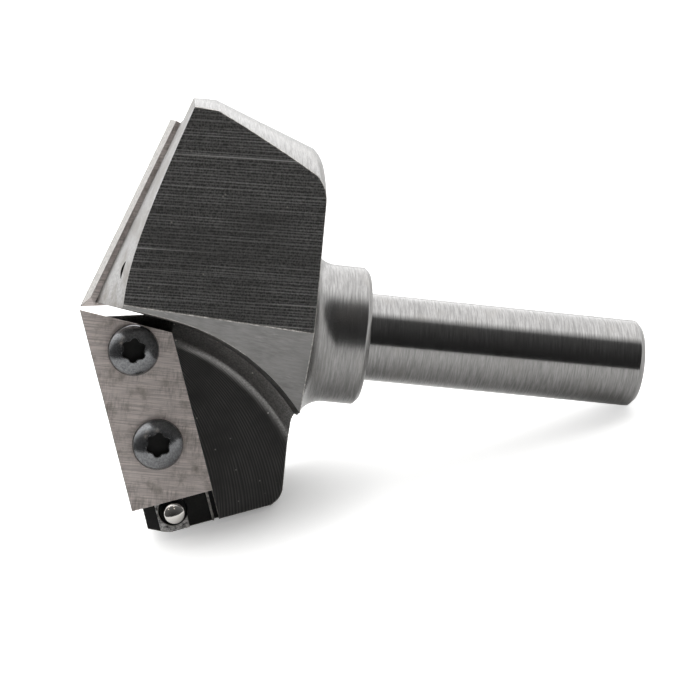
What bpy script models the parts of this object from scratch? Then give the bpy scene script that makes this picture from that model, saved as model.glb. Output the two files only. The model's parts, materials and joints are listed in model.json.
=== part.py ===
"""V-groove router bit: a one-piece steel body that carries two replaceable carbide knives.

Every piece is modelled in the bit's own frame: Z runs along the axis from the tip of the V towards
the shank, and the rake faces of both knives lie in the plane Y = 0. The second wing and all that it
carries is the first one turned half a turn about Z. An empty then lays the whole bit down on its
head and the end of its shank, as it comes to rest on a bench. Lengths are in metres, angles in
radians.
"""

from math import asin, atan2, cos, hypot, pi, radians, sin, tan

import bmesh
import bpy
from mathutils import Matrix, Vector

MM = 0.001

# Turned outline of the body. Heights are measured along the axis from the tip of the V.
OVERALL_LENGTH = 82.2 * MM
SHANK_DIAMETER = 12.7 * MM
SHANK_CHAMFER = 0.8 * MM
COLLAR_DIAMETER = 20.0 * MM
COLLAR_CHAMFER = 0.7 * MM
SHOULDER_HEIGHT = 41.1 * MM
NECK_FILLET = 4.0 * MM
HEAD_DIAMETER = 63.5 * MM
HEAD_REAR_HEIGHT = 32.2 * MM
HEAD_LAND = 3.25 * MM
HEAD_REAR_TAPER = radians(20.0)
HEAD_REAR_FILLET = 3.0 * MM
CONE_SETBACK = 1.49 * MM

# Knives. EDGE_ANGLE is measured from the axis, so the V is twice as wide. The two holes lie either
# side of the knife's middle, and SCREW_SHIFT is how far the pair sits beyond it.
EDGE_ANGLE = radians(70.0)
KNIFE_LENGTH = 30.0 * MM
KNIFE_WIDTH = 12.0 * MM
KNIFE_THICKNESS = 1.5 * MM
KNIFE_AXIS_CLEARANCE = 0.24 * MM
KNIFE_INNER_SLANT = radians(8.2)
FLANK_RELIEF = radians(28.4)
TIP_RELIEF_LENGTH = 1.9 * MM
TIP_RELIEF_WIDTH = 1.85 * MM
KNIFE_HOLE_DIAMETER = 4.5 * MM
SCREW_ROW = 6.0 * MM
SCREW_SHIFT = -0.45 * MM
SCREW_PITCH = 14.0 * MM

# Knife screws: button head with a six-lobe socket.
SCREW_DIAMETER = 4.0 * MM
SCREW_REACH = 8.5 * MM
HEAD_CAP_DIAMETER = 7.4 * MM
HEAD_CAP_HEIGHT = 2.2 * MM
HEAD_CAP_RIM = 0.45 * MM
SOCKET_WIDTH = 3.86 * MM
SOCKET_WAIST = 2.77 * MM
SOCKET_DEPTH = 1.5 * MM
SCREW_POINT_CHAMFER = 0.5 * MM
TAPPED_HOLE_DIAMETER = 4.6 * MM
TAPPED_HOLE_DEPTH = 10.8 * MM

# The groove where the thread runs out. The first screw's one just breaks through the front cone.
RUN_OUT_DIAMETER = 6.0 * MM
RUN_OUT_START = 7.6 * MM
RUN_OUT_END = 9.2 * MM

# Stop pin beyond each knife's outer end.
PIN_DIAMETER = 3.0 * MM
PIN_FOOT_DIAMETER = 3.9 * MM
PIN_FOOT_HEIGHT = 1.6 * MM
PIN_GAP_TO_KNIFE = 0.37 * MM
PIN_ROW = 5.85 * MM
PIN_EQUATOR_DEPTH = 1.0 * MM
PIN_HOLE_DIAMETER = 4.3 * MM
PIN_HOLE_DEPTH = 7.5 * MM

# Milled faces. The back flat and the facet rise towards the shank; slopes are height per length.
FLAT_HEIGHT = 11.0 * MM
FLAT_RISE = 0.188
FLAT_FALL_OUTWARD = 0.041
FACET_EDGE_OFFSET = 1.2 * MM
FACET_EDGE_DRIFT = -0.052
FACET_SLOPE = 0.79

# Chip gullet in front of each knife, and the raised seat that it leaves under the knife.
GULLET_DEPTH = 4.8 * MM
GULLET_WALL_RADIUS = 32.3 * MM
GULLET_WALL_START = 11.85 * MM
GULLET_FOOT_RADIUS = 2.6 * MM
SLOT_WIDTH = 1.53 * MM
SEAT_SETBACK = 0.3 * MM
SEAT_GAP = 0.15 * MM

# Stepped shelf beyond the knife's outer end, crossed by two shallow cuts.
SHELF_BEVEL_WIDTH = 3.4 * MM
SHELF_BEVEL_SLOPE = radians(25.0)
SHELF_BEVEL_REACH = 8.0 * MM
SHELF_CHANNEL_NEAR = 7.7 * MM
SHELF_CHANNEL_FAR = 11.1 * MM
SHELF_CHANNEL_DEPTH = 0.4 * MM
SHELF_GROOVE_NEAR = 11.4 * MM
SHELF_GROOVE_FAR = 12.1 * MM
SHELF_GROOVE_DEPTH = 0.9 * MM

# The way that the bit lies: how far it is rolled about its own axis, from the edge of a wing.
REST_ROLL = radians(22.5)

TURNED_STEPS = 64
HOLE_SIDES = 24
SMALL_TURN_STEPS = 32
SOCKET_STEPS = 36
WALL_ARC_STEPS = 14
FILLET_STEPS = 4
CUT_REACH = 60.0 * MM
CUT_OVERRUN = 5.0 * MM

COLOURS = {
    "ground tool steel": ((0.32, 0.31, 0.30, 1.0), 0.35),
    "sintered carbide": ((0.27, 0.26, 0.24, 1.0), 0.42),
    "black oxide steel": ((0.02, 0.02, 0.022, 1.0), 0.25),
    "polished steel": ((0.62, 0.61, 0.60, 1.0), 0.08),
}


def clear_scene():
    for item in list(bpy.data.objects):
        bpy.data.objects.remove(item, do_unlink=True)


def new_collection(name):
    collection = bpy.data.collections.new(name)
    bpy.context.scene.collection.children.link(collection)
    return collection


def metal(name):
    colour, roughness = COLOURS[name]
    material = bpy.data.materials.new(name)
    material.use_nodes = True
    shader = material.node_tree.nodes["Principled BSDF"]
    shader.inputs["Base Color"].default_value = colour
    shader.inputs["Roughness"].default_value = roughness
    shader.inputs["Metallic"].default_value = 1.0
    return material


def new_empty(name, collection, parent=None):
    empty = bpy.data.objects.new(name, None)
    collection.objects.link(empty)
    empty.parent = parent
    return empty


def new_piece(name, mesh, collection, parent):
    piece = bpy.data.objects.new(name, mesh)
    collection.objects.link(piece)
    piece.parent = parent
    return piece


def as_cutter(piece):
    piece.hide_render = True
    piece.display_type = "WIRE"
    return piece


def add_boolean(piece, other, operation="DIFFERENCE"):
    modifier = piece.modifiers.new(f"{operation.lower()} {other.name}", "BOOLEAN")
    modifier.operation = operation
    modifier.object = other


def shade(piece, material, angle=30.0):
    piece.data.materials.append(material)
    piece.data.shade_smooth()
    piece.data.set_sharp_from_angle(angle=radians(angle))


def arc(centre, radius, start, end, steps):
    """Points of an arc in a plane, both ends included."""
    angles = [start + (end - start) * i / steps for i in range(steps + 1)]
    return [(centre[0] + radius * cos(t), centre[1] + radius * sin(t)) for t in angles]


def turned(name, profile, steps, collection, parent):
    """A solid of revolution about Z from (radius, height) points, the top one first."""
    mesh = bpy.data.meshes.new(name)
    points = [(radius, 0.0, height) for radius, height in profile]
    mesh.from_pydata(points, [(i, i + 1) for i in range(len(points) - 1)], [])
    piece = new_piece(name, mesh, collection, parent)
    screw = piece.modifiers.new("turning", "SCREW")
    screw.axis = "Z"
    screw.steps = steps
    screw.render_steps = steps
    screw.use_merge_vertices = True
    screw.merge_threshold = 0.00001
    screw.use_smooth_shade = False
    return piece


def bar(name, radius, low, high, sides, collection, parent):
    """A round bar along Y, for drilling."""
    bm = bmesh.new()
    bmesh.ops.create_cone(
        bm, cap_ends=True, segments=sides, radius1=radius, radius2=radius, depth=high - low
    )
    bmesh.ops.rotate(bm, verts=bm.verts, matrix=Matrix.Rotation(pi / 2, 3, "X"))
    bmesh.ops.translate(bm, verts=bm.verts, vec=(0.0, (low + high) / 2, 0.0))
    mesh = bpy.data.meshes.new(name)
    bm.to_mesh(mesh)
    bm.free()
    return new_piece(name, mesh, collection, parent)


def plate(name, outline, low, high, collection, parent):
    """A flat plate between two heights Y, from an outline of (x, z) points."""
    curve = bpy.data.curves.new(name, "CURVE")
    curve.dimensions = "2D"
    curve.fill_mode = "BOTH"
    curve.extrude = (high - low) / 2
    spline = curve.splines.new("POLY")
    spline.points.add(len(outline) - 1)
    for point, (x, z) in zip(spline.points, outline):
        point.co = (x, z, 0.0, 1.0)
    spline.use_cyclic_u = True
    guide = new_piece(f"{name} outline", curve, collection, parent)
    guide.rotation_euler.x = pi / 2
    guide.location.y = (low + high) / 2
    bpy.context.view_layer.update()
    graph = bpy.context.evaluated_depsgraph_get()
    mesh = bpy.data.meshes.new_from_object(guide.evaluated_get(graph))
    mesh.transform(guide.matrix_basis)
    bm = bmesh.new()
    bm.from_mesh(mesh)
    bmesh.ops.remove_doubles(bm, verts=bm.verts, dist=0.00001)
    bmesh.ops.recalc_face_normals(bm, faces=bm.faces)
    bm.to_mesh(mesh)
    bm.free()
    mesh.name = name
    bpy.data.objects.remove(guide)
    bpy.data.curves.remove(curve)
    return new_piece(name, mesh, collection, parent)


def half_space(name, point, along, across, collection, parent, reach=CUT_REACH):
    """A block on the side of a plane that along x across points to, with a point mid-face."""
    along = Vector(along).normalized()
    outward = along.cross(Vector(across)).normalized()
    across = outward.cross(along)
    turn = Matrix((along, across, outward)).transposed().to_4x4()
    bm = bmesh.new()
    bmesh.ops.create_cube(bm, size=2 * reach)
    bmesh.ops.translate(bm, verts=bm.verts, vec=(0.0, 0.0, reach))
    bmesh.ops.transform(bm, verts=bm.verts, matrix=Matrix.Translation(point) @ turn)
    mesh = bpy.data.meshes.new(name)
    bm.to_mesh(mesh)
    bm.free()
    return as_cutter(new_piece(name, mesh, collection, parent))


def on_knife(along_edge, behind_edge):
    """(x, z) of a place on the first knife, from its tip along the cutting edge and back from it."""
    x = -along_edge * sin(EDGE_ANGLE) + behind_edge * cos(EDGE_ANGLE) - KNIFE_AXIS_CLEARANCE
    z = along_edge * cos(EDGE_ANGLE) + behind_edge * sin(EDGE_ANGLE)
    return x, z


def at_depth(place, depth):
    """The point of an (x, z) place that lies a depth behind the rake plane."""
    return Vector((place[0], -depth, place[1]))


def inner_end(behind_edge, setback=0.0):
    """How far along the edge the slanted inner end of the knife lies, at a distance behind it."""
    slant = pi / 2 - EDGE_ANGLE + KNIFE_INNER_SLANT
    return behind_edge * tan(slant) + setback / cos(slant)


def head_rear_corner():
    """Centre of the rounded rear corner of the head, as (radius, height)."""
    taper = HEAD_REAR_TAPER
    widest_rear = cone_base_height() + HEAD_LAND
    centre_height = HEAD_REAR_HEIGHT - HEAD_REAR_FILLET
    on_taper = HEAD_DIAMETER / 2 - (centre_height - widest_rear) * tan(taper)
    return on_taper - HEAD_REAR_FILLET / cos(taper), centre_height


def cone_base_height():
    return CONE_SETBACK + HEAD_DIAMETER / 2 / tan(EDGE_ANGLE)


def body_profile():
    """The turned outline, from the end of the shank down to the point of the front cone."""
    shank = SHANK_DIAMETER / 2
    collar = COLLAR_DIAMETER / 2
    widest = HEAD_DIAMETER / 2
    neck_centre = (collar + NECK_FILLET, HEAD_REAR_HEIGHT + NECK_FILLET)
    profile = [
        (0.0, OVERALL_LENGTH),
        (shank - SHANK_CHAMFER, OVERALL_LENGTH),
        (shank, OVERALL_LENGTH - SHANK_CHAMFER),
        (shank, SHOULDER_HEIGHT),
        (collar - COLLAR_CHAMFER, SHOULDER_HEIGHT),
        (collar, SHOULDER_HEIGHT - COLLAR_CHAMFER),
    ]
    profile += arc(neck_centre, NECK_FILLET, pi, 3 * pi / 2, 2 * FILLET_STEPS)
    profile += arc(head_rear_corner(), HEAD_REAR_FILLET, pi / 2, HEAD_REAR_TAPER, FILLET_STEPS)
    profile += [
        (widest, cone_base_height() + HEAD_LAND),
        (widest, cone_base_height()),
        (0.0, CONE_SETBACK),
    ]
    return profile


def gullet_wall():
    """(x, z) points of the wall: a straight slot beside the knife's end, then a long arc."""
    slant = KNIFE_INNER_SLANT
    foot_x = -KNIFE_AXIS_CLEARANCE + SLOT_WIDTH / cos(slant)
    start = (foot_x + CUT_OVERRUN * tan(slant), -CUT_OVERRUN)
    tangent = (foot_x - GULLET_WALL_START * tan(slant), GULLET_WALL_START)
    centre = (
        tangent[0] - GULLET_WALL_RADIUS * cos(slant),
        tangent[1] - GULLET_WALL_RADIUS * sin(slant),
    )
    return [start] + arc(centre, GULLET_WALL_RADIUS, slant, pi / 2, WALL_ARC_STEPS)


def knife_outline():
    corners = [
        (0.0, 0.0),
        (KNIFE_LENGTH, 0.0),
        (KNIFE_LENGTH, KNIFE_WIDTH),
        (inner_end(KNIFE_WIDTH), KNIFE_WIDTH),
    ]
    return [on_knife(*corner) for corner in corners]


def seat_outline():
    """The raised seat runs forward out of the front cone, which trims it."""
    front = -CUT_OVERRUN
    corners = [
        (inner_end(front, SEAT_SETBACK), front),
        (KNIFE_LENGTH, front),
        (KNIFE_LENGTH, KNIFE_WIDTH),
        (inner_end(KNIFE_WIDTH, SEAT_SETBACK), KNIFE_WIDTH),
    ]
    return [on_knife(*corner) for corner in corners]


def shelf_strip(name, near, far, depth, cutters, side):
    """A shallow cut across the shelf, between two distances behind the cutting edge."""
    start = KNIFE_LENGTH - CUT_OVERRUN
    end = KNIFE_LENGTH + 2 * CUT_OVERRUN
    outline = [on_knife(*corner) for corner in ((start, near), (end, near), (end, far), (start, far))]
    floor = -GULLET_DEPTH - depth
    return as_cutter(plate(name, outline, floor, floor + CUT_OVERRUN / 2, cutters, side))


def round_wall_foot(mesh):
    """Gives the gullet mill its round nose where its wall meets its floor."""
    bm = bmesh.new()
    bm.from_mesh(mesh)
    bm.normal_update()
    floor = min(vertex.co.y for vertex in bm.verts)
    foot = []
    for edge in bm.edges:
        lies_low = all(vertex.co.y < floor + MM / 10 for vertex in edge.verts)
        faces_wall = any(face.normal.x + face.normal.z > 0.5 for face in edge.link_faces)
        if lies_low and faces_wall:
            foot.append(edge)
    bmesh.ops.bevel(
        bm, geom=foot, offset=GULLET_FOOT_RADIUS, segments=FILLET_STEPS, profile=0.5, affect="EDGES"
    )
    bm.to_mesh(mesh)
    bm.free()


def shelf_bevel(cutters, side):
    """The sloping strip along the front of the shelf."""
    x, z = on_knife(KNIFE_LENGTH, SHELF_BEVEL_WIDTH)
    slope = SHELF_BEVEL_SLOPE
    inward = (sin(EDGE_ANGLE), 0.0, -cos(EDGE_ANGLE))
    forward = (-cos(EDGE_ANGLE) * cos(slope), -sin(slope), -sin(EDGE_ANGLE) * cos(slope))
    place = (x, -GULLET_DEPTH, z)
    return half_space("shelf bevel", place, inward, forward, cutters, side, SHELF_BEVEL_REACH)


def gullet_cutter(cutters, side):
    outline = gullet_wall()
    outer_x = -HEAD_DIAMETER / 2 - 2 * CUT_OVERRUN
    outline += [(outer_x, outline[-1][1]), (outer_x, outline[0][1])]
    gullet = plate("gullet", outline, -GULLET_DEPTH, HEAD_DIAMETER / 2, cutters, side)
    round_wall_foot(gullet.data)
    seat_top = -KNIFE_THICKNESS - SEAT_GAP
    seat_foot = -GULLET_DEPTH - CUT_OVERRUN
    seat = as_cutter(plate("seat", seat_outline(), seat_foot, seat_top, cutters, side))
    channel = (SHELF_CHANNEL_NEAR, SHELF_CHANNEL_FAR, SHELF_CHANNEL_DEPTH)
    groove = (SHELF_GROOVE_NEAR, SHELF_GROOVE_FAR, SHELF_GROOVE_DEPTH)
    add_boolean(gullet, shelf_strip("shelf channel", *channel, cutters, side), "UNION")
    add_boolean(gullet, shelf_strip("shelf groove", *groove, cutters, side), "UNION")
    add_boolean(gullet, shelf_bevel(cutters, side), "UNION")
    add_boolean(gullet, seat)
    return as_cutter(gullet)


def back_flat_cutter(cutters, side):
    return half_space(
        "back flat",
        (0.0, -FLAT_HEIGHT, 0.0),
        (0.0, -FLAT_RISE, 1.0),
        (-1.0, FLAT_FALL_OUTWARD, 0.0),
        cutters,
        side,
    )


def facet_cutter(cutters, side):
    """The facet starts at the flat's inner edge and slopes down into the other wing's gullet.

    It stops at the rake plane, so that it leaves the floor of that gullet alone.
    """
    edge_x = -FACET_EDGE_OFFSET
    edge_y = -FLAT_HEIGHT - FLAT_FALL_OUTWARD * edge_x
    rise = FLAT_RISE - FLAT_FALL_OUTWARD * FACET_EDGE_DRIFT
    facet = half_space(
        "facet",
        (edge_x, edge_y, 0.0),
        (-FACET_EDGE_DRIFT, -rise, 1.0),
        (-1.0, -FACET_SLOPE + FLAT_FALL_OUTWARD, 0.0),
        cutters,
        side,
    )
    origin = (0.0, 0.0, 0.0)
    add_boolean(facet, half_space("rake plane", origin, (0, 0, 1), (1, 0, 0), cutters, side))
    return facet


def drilled(name, place, diameter, depth, cutters, side, start=CUT_OVERRUN):
    hole = bar(name, diameter / 2, -depth, start, HOLE_SIDES, cutters, side)
    hole.location = (place[0], 0.0, place[1])
    return as_cutter(hole)


def screw_places():
    middle = KNIFE_LENGTH / 2 + SCREW_SHIFT
    return [on_knife(middle + side * SCREW_PITCH / 2, SCREW_ROW) for side in (-1, 1)]


def pin_place():
    return on_knife(KNIFE_LENGTH + PIN_GAP_TO_KNIFE + PIN_DIAMETER / 2, PIN_ROW)


def make_body(parts, cutters, rest, sides, material):
    body = turned("body", body_profile(), TURNED_STEPS, parts, rest)
    # Half a step round, so that the bit lies on a flat of the facets and not on an edge.
    body.rotation_euler.z = pi / TURNED_STEPS
    for side in sides:
        add_boolean(body, back_flat_cutter(cutters, side))
        add_boolean(body, facet_cutter(cutters, side))
        add_boolean(body, gullet_cutter(cutters, side))
        for place in screw_places():
            hole = drilled("tapped hole", place, TAPPED_HOLE_DIAMETER, TAPPED_HOLE_DEPTH, cutters, side)
            add_boolean(body, hole)
            run_out = (RUN_OUT_DIAMETER, RUN_OUT_END, cutters, side, -RUN_OUT_START)
            add_boolean(body, drilled("thread run-out", place, *run_out))
        hole = drilled("pin hole", pin_place(), PIN_HOLE_DIAMETER, PIN_HOLE_DEPTH, cutters, side)
        add_boolean(body, hole)
    shade(body, material)
    return body


def make_knife(name, parts, cutters, side, material):
    knife = plate(name, knife_outline(), -KNIFE_THICKNESS, 0.0, parts, side)
    tip = at_depth(on_knife(0.0, 0.0), 0.0)
    outer = at_depth(on_knife(KNIFE_LENGTH, 0.0), 0.0)
    relief_width = KNIFE_THICKNESS * tan(FLANK_RELIEF)
    under_tip = at_depth(on_knife(0.0, relief_width), KNIFE_THICKNESS)
    add_boolean(knife, half_space("flank relief", tip, tip - outer, under_tip - tip, cutters, side))
    front = at_depth(on_knife(TIP_RELIEF_LENGTH, relief_width), KNIFE_THICKNESS)
    rear = at_depth(on_knife(inner_end(TIP_RELIEF_WIDTH), TIP_RELIEF_WIDTH), KNIFE_THICKNESS)
    add_boolean(knife, half_space("tip relief", tip, rear - tip, front - tip, cutters, side))
    for place in screw_places():
        hole = drilled("knife hole", place, KNIFE_HOLE_DIAMETER, KNIFE_WIDTH, cutters, side)
        add_boolean(knife, hole)
    shade(knife, material)


def button_head_profile():
    """From the top of the head, over its dome and rim, down the stem to the chamfered point."""
    rim = HEAD_CAP_DIAMETER / 2
    stem = SCREW_DIAMETER / 2
    rise = HEAD_CAP_HEIGHT - HEAD_CAP_RIM
    dome = (rim**2 + rise**2) / (2 * rise)
    centre = (0.0, SEAT_GAP + HEAD_CAP_HEIGHT - dome)
    profile = arc(centre, dome, pi / 2, atan2(dome - rise, rim), 2 * FILLET_STEPS)
    profile += [
        (rim, SEAT_GAP),
        (stem, SEAT_GAP),
        (stem, SCREW_POINT_CHAMFER - SCREW_REACH),
        (stem - SCREW_POINT_CHAMFER, -SCREW_REACH),
        (0.0, -SCREW_REACH),
    ]
    return profile


def socket_outline():
    """Six rounded lobes between the socket's width and its waist."""
    middle = (SOCKET_WIDTH + SOCKET_WAIST) / 4
    swing = (SOCKET_WIDTH - SOCKET_WAIST) / 4
    angles = [2 * pi * i / SOCKET_STEPS for i in range(SOCKET_STEPS)]
    return [
        ((middle + swing * cos(6 * t)) * cos(t), (middle + swing * cos(6 * t)) * sin(t))
        for t in angles
    ]


def make_screw(name, place, parts, cutters, side, material):
    stand = new_empty(f"{name} seat", parts, side)
    stand.location = (place[0], 0.0, place[1])
    screw = turned(name, button_head_profile(), SMALL_TURN_STEPS, parts, stand)
    screw.rotation_euler.x = -pi / 2
    top = SEAT_GAP + HEAD_CAP_HEIGHT
    socket = plate(
        "socket", socket_outline(), top - SOCKET_DEPTH, top + SOCKET_DEPTH, cutters, stand
    )
    add_boolean(screw, as_cutter(socket))
    shade(screw, material)


def pin_profile():
    """A domed end on a stem, above a wider foot that fills the hole."""
    stem = PIN_DIAMETER / 2
    foot = PIN_FOOT_DIAMETER / 2
    bottom = SEAT_GAP - PIN_HOLE_DEPTH
    profile = arc((0.0, -PIN_EQUATOR_DEPTH), stem, pi / 2, 0.0, 2 * FILLET_STEPS)
    profile += [
        (stem, bottom + PIN_FOOT_HEIGHT),
        (foot, bottom + PIN_FOOT_HEIGHT),
        (foot, bottom),
        (0.0, bottom),
    ]
    return profile


def make_pin(name, parts, side, material):
    pin = turned(name, pin_profile(), SMALL_TURN_STEPS, parts, side)
    place = pin_place()
    pin.location = (place[0], 0.0, place[1])
    pin.rotation_euler.x = -pi / 2
    shade(pin, material)


def rest_tilt():
    """How far the axis dips when the rear corner of the head and the shank's end both touch."""
    corner_radius, corner_height = head_rear_corner()
    run = OVERALL_LENGTH - SHANK_CHAMFER - corner_height
    drop = corner_radius - SHANK_DIAMETER / 2
    return atan2(drop, run) + asin(HEAD_REAR_FILLET / hypot(run, drop))


def lay_down(rest, parts):
    """Rolls the bit about its axis, tips it over, and stands its box on the origin."""
    rest.rotation_mode = "ZYX"
    rest.rotation_euler = (0.0, pi / 2 + rest_tilt(), pi - REST_ROLL)
    bpy.context.view_layer.update()
    graph = bpy.context.evaluated_depsgraph_get()
    corners = []
    for piece in parts.objects:
        if piece.type == "MESH":
            shaped = piece.evaluated_get(graph)
            corners += [shaped.matrix_world @ vertex.co for vertex in shaped.data.vertices]
    low = [min(corner[axis] for corner in corners) for axis in range(3)]
    high = [max(corner[axis] for corner in corners) for axis in range(3)]
    rest.location = (-(low[0] + high[0]) / 2, -(low[1] + high[1]) / 2, -low[2])


def main():
    clear_scene()
    parts = new_collection("v-groove router bit")
    cutters = new_collection("cutters")
    steel, carbide, black, bright = [metal(name) for name in COLOURS]
    rest = new_empty("rest pose", parts)
    sides = []
    for number in (1, 2):
        side = new_empty(f"wing {number}", parts, rest)
        side.rotation_euler.z = pi * (number - 1)
        sides.append(side)
    make_body(parts, cutters, rest, sides, steel)
    for number, side in enumerate(sides, start=1):
        make_knife(f"knife_{number}", parts, cutters, side, carbide)
        for letter, place in zip("ab", screw_places()):
            make_screw(f"knife_screw_{number}{letter}", place, parts, cutters, side, black)
        make_pin(f"stop_pin_{number}", parts, side, bright)
    lay_down(rest, parts)


main()
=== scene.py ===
"""V-groove router bit: its finely cut shapes, the finish of each surface and the studio round it.

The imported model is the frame. Each piece is modelled again here with finer steps and broken edges,
in the bit's own frame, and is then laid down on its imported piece. In that frame Z runs along the
axis from the tip of the V towards the shank, and the rake faces of both knives lie in the plane
Y = 0. Whatever belongs to the second wing is the first wing's, turned half a turn about Z.
"""

import json
from math import asin, atan2, cos, pi, radians, sin, tan

import bpy
from bpy.props import FloatProperty, FloatVectorProperty, IntProperty, PointerProperty, StringProperty
from mathutils import Matrix, Vector


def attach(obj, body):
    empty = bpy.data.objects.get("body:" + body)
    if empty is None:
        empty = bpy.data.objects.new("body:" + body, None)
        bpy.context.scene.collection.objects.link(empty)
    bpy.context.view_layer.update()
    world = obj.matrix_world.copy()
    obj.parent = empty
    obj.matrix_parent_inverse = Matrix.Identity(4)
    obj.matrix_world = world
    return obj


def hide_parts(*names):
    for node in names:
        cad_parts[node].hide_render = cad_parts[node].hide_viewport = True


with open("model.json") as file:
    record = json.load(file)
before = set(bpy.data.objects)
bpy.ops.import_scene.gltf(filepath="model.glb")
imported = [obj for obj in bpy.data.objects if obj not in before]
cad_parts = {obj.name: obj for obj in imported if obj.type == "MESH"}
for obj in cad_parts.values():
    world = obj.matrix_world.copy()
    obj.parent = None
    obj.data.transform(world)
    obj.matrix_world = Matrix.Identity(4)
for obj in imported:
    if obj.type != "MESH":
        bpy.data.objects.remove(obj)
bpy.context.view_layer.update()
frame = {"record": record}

bl_info = {
    "name": "V-groove router bit",
    "version": (1, 0, 0),
    "blender": (4, 5, 0),
    "location": "View3D > Sidebar > Router bit",
    "description": "Builds a V-groove router bit with replaceable knives, and a plain studio for it",
    "category": "Object",
}

MM = 0.001
WING_TURNS = {1: 0.0, 2: pi}
# An edge sharper than this is broken or worn, and one sharper than the other is drawn as an edge.
WORN_ANGLE = radians(28.0)
SMOOTH_ANGLE = radians(30.0)
# Of the lathe's faces, only the front cone's point this far down the axis.
CONE_FALL = -0.5
# How far a noise moves the lines of a mill, in radians of their wave.
LINE_WANDER = 9.0
# Strength of the room in front and overhead, and of the soft window behind.
ROOM_LOW = 0.035
ROOM_HIGH = 0.15
WINDOW_LIGHT = 1.8
WINDOW_SIDE = (0.0, 0.94, 0.34)
# Turn to the right and height above the floor of each spot lamp, in degrees, seen from the bit.
SPOTS = ((-48, 49), (20, 51), (-55, 65), (30, 67))
SPOT_TARGET = Vector((0.0, 0.0, 0.03))
SPOT_WARMTH = "FFF1E2"


def length(name, millimetres, description):
    return FloatProperty(
        name=name, description=description, default=millimetres * MM, precision=5, unit="LENGTH"
    )


def angle(name, degrees, description):
    return FloatProperty(
        name=name, description=description, default=radians(degrees), unit="ROTATION"
    )


def ratio(name, value, description):
    return FloatProperty(name=name, description=description, default=value, precision=3)


def count(name, value, description):
    return IntProperty(name=name, description=description, default=value, min=3)


def colour(name, hex_value, description):
    return StringProperty(name=name, description=description, default=hex_value)


class TurnedSizes(bpy.types.PropertyGroup):
    """The body as it leaves the lathe. Heights run along the axis from the tip of the V."""

    overall: length("Overall length", 82.2, "From the tip of the V to the end of the shank")
    shank_diameter: length("Shank diameter", 12.7, "What the collet holds")
    shank_chamfer: length("Shank chamfer", 0.8, "On the end of the shank")
    collar_diameter: length("Collar diameter", 20.0, "Thicker part behind the head")
    collar_chamfer: length("Collar chamfer", 0.7, "On the shoulder of the collar")
    shoulder_height: length("Shoulder height", 41.1, "From the tip to the collar's shoulder")
    neck_fillet: length("Neck fillet", 4.0, "Between the collar and the head")
    head_diameter: length("Head diameter", 63.5, "Widest part of the head")
    rear_height: length("Head rear height", 32.2, "From the tip to the back of the head")
    land: length("Land", 3.25, "Width of the cylindrical strip round the head")
    rear_taper: angle("Rear taper", 20.0, "Slope of the head behind its land")
    rear_fillet: length("Rear fillet", 3.0, "Rounded rear corner of the head")
    cone_setback: length("Cone setback", 1.49, "How far the body's cone lies behind the knives")
    edge_break: length("Edge break", 0.11, "Width of the worn rounding on the outer edges")
    steps: count("Turning steps", 256, "Steps round the body")
    arc_steps: count("Arc steps", 12, "Steps in each turned fillet")


class MilledSizes(bpy.types.PropertyGroup):
    """The faces milled into the body, and the holes drilled in it."""

    flat_height: length("Flat height", 11.0, "From the rake plane to the back flat at the tip")
    flat_rise: ratio("Flat rise", 0.188, "How far the flat rises, per length along the axis")
    flat_fall: ratio("Flat fall", 0.041, "How far the flat falls outwards, per length")
    facet_offset: length("Facet offset", 1.2, "From the axis to the facet's inner edge")
    facet_drift: ratio("Facet drift", -0.052, "How that edge drifts, per length along the axis")
    facet_slope: ratio("Facet slope", 0.79, "How steeply the facet falls")
    gullet_depth: length("Gullet depth", 4.8, "From the rake plane to the gullet's floor")
    wall_radius: length("Gullet wall radius", 32.3, "Radius of the curved wall, seen from the front")
    wall_start: length("Gullet wall start", 11.85, "Where the straight slot ends")
    foot_width: length("Gullet foot width", 2.6, "Of the sloping foot between the wall and the floor")
    foot_rounding: length("Gullet foot rounding", 0.87, "How far its rounding runs along the floor")
    slot_width: length("Slot width", 1.53, "Between the knife's inner end and the wall")
    seat_setback: length("Seat setback", 0.3, "How far the seat's end hides behind the knife's")
    seat_gap: length("Seat gap", 0.15, "Between the knife and its seat")
    bevel_width: length("Shelf bevel width", 3.4, "From the cutting edge to the shelf's level part")
    bevel_slope: angle("Shelf bevel slope", 25.0, "Slope of the shelf's front strip")
    bevel_reach: length("Shelf bevel reach", 8.0, "How far that strip is cut")
    channel_near: length("Channel near side", 7.7, "Behind the cutting edge")
    channel_far: length("Channel far side", 11.1, "Behind the cutting edge")
    channel_depth: length("Channel depth", 0.4, "Below the shelf")
    groove_near: length("Groove near side", 11.4, "Behind the cutting edge")
    groove_far: length("Groove far side", 12.1, "Behind the cutting edge")
    groove_depth: length("Groove depth", 0.9, "Below the shelf")
    tapped_diameter: length("Tapped hole diameter", 4.6, "For a knife screw")
    tapped_depth: length("Tapped hole depth", 10.8, "From the rake plane")
    run_out_diameter: length("Run-out diameter", 6.2, "Of the groove where the thread ends")
    run_out_start: length("Run-out start", 7.6, "From the rake plane")
    run_out_end: length("Run-out end", 9.2, "From the rake plane")
    pin_hole_diameter: length("Pin hole diameter", 4.3, "For a stop pin")
    pin_hole_depth: length("Pin hole depth", 7.5, "From the rake plane")
    overrun: length("Overrun", 5.0, "How far a cut runs past the work")
    wall_steps: count("Wall steps", 56, "Steps in the curved wall")
    foot_steps: count("Foot steps", 10, "Steps in the wall's rounded foot")


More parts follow.
